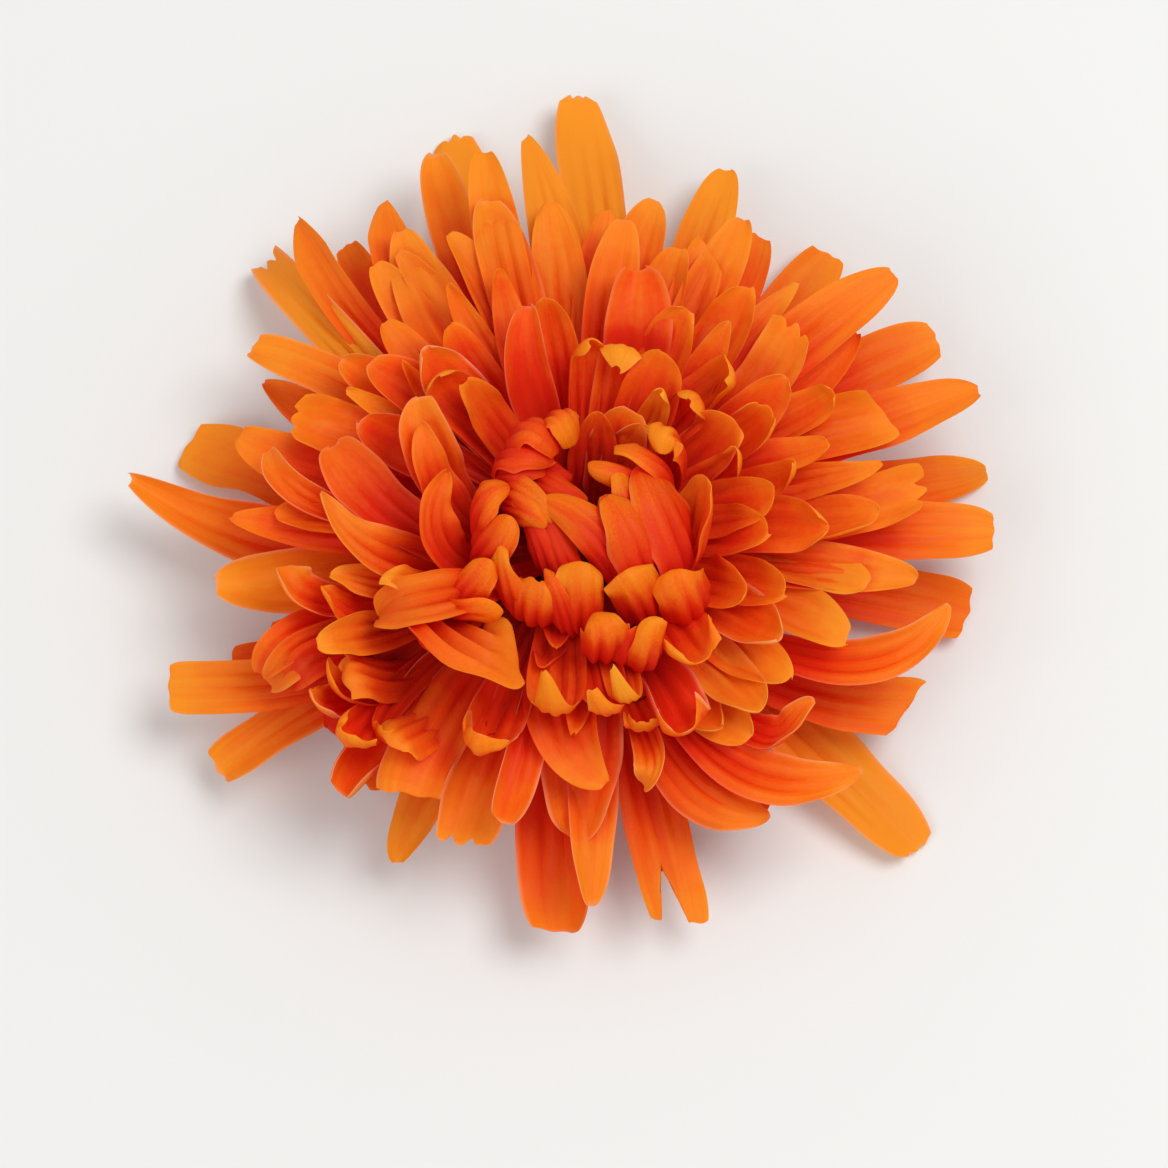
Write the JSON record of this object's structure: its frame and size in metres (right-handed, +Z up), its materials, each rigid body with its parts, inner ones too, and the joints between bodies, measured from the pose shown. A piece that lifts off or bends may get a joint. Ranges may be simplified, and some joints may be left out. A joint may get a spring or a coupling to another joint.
{
  "type": "chrysanthemum",
  "caption": "Open double orange chrysanthemum bloom, picked short under the head and lying face up on its outer petals, with long loose rays round an incurved heart.",
  "frame": {"origin": "middle of the bloom's outline as seen from above, on the surface that it lies on", "axes": "+Z up, through the face of the bloom, which looks up; +Y to the longest petal, at the back"},
  "size_m": [0.1352, 0.136, 0.0457],
  "materials": {
    "petal_outer": "satin",
    "petal_inner": "satin",
    "bract": "matte",
    "stem": "matte"
  },
  "bodies": {
    "root": {"bracts_lower": "bract", "bracts_upper": "bract", "petal_heart": "petal_inner", "petal_row1_01": "petal_outer", "petal_row1_02": "petal_outer", "petal_row1_03": "petal_outer", "petal_row1_04": "petal_outer", "petal_row1_05": "petal_outer", "petal_row1_06": "petal_outer", "petal_row1_07": "petal_outer", "petal_row1_08": "petal_outer", "petal_row1_09": "petal_outer", "petal_row1_10": "petal_outer", "petal_row1_11": "petal_outer", "petal_row1_12": "petal_outer", "petal_row2_01": "petal_outer", "petal_row2_02": "petal_outer", "petal_row2_03": "petal_outer", "petal_row2_04": "petal_outer", "petal_row2_05": "petal_outer", "petal_row2_06": "petal_outer", "petal_row2_07": "petal_outer", "petal_row2_08": "petal_outer", "petal_row2_09": "petal_outer", "petal_row2_10": "petal_outer", "petal_row3_01": "petal_outer", "petal_row3_02": "petal_outer", "petal_row3_03": "petal_outer", "petal_row3_04": "petal_outer", "petal_row3_05": "petal_outer", "petal_row3_06": "petal_outer", "petal_row3_07": "petal_outer", "petal_row4_01": "petal_outer", "petal_row4_02": "petal_outer", "petal_row4_03": "petal_outer", "petal_row4_04": "petal_outer", "petal_row4_05": "petal_outer", "petal_row4_06": "petal_outer", "petal_row4_07": "petal_outer", "petal_row4_08": "petal_outer", "petal_row4_09": "petal_outer", "petal_row4_10": "petal_outer", "petal_row5_01": "petal_outer", "petal_row5_02": "petal_outer", "petal_row5_03": "petal_outer", "petal_row5_04": "petal_outer", "petal_row5_05": "petal_outer", "petal_row5_06": "petal_outer", "petal_row5_07": "petal_outer", "petal_row6_01": "petal_outer", "petal_row6_02": "petal_outer", "petal_row6_03": "petal_outer", "petal_row6_04": "petal_outer", "petal_whorl_incurved": "petal_inner", "petal_whorl_inner": "petal_inner", "petal_whorl_middle": "petal_inner", "petal_whorl_outer": "petal_inner", "petal_whorl_upper": "petal_inner", "stem_with_receptacle": "stem"}
  },
  "joints": []
}
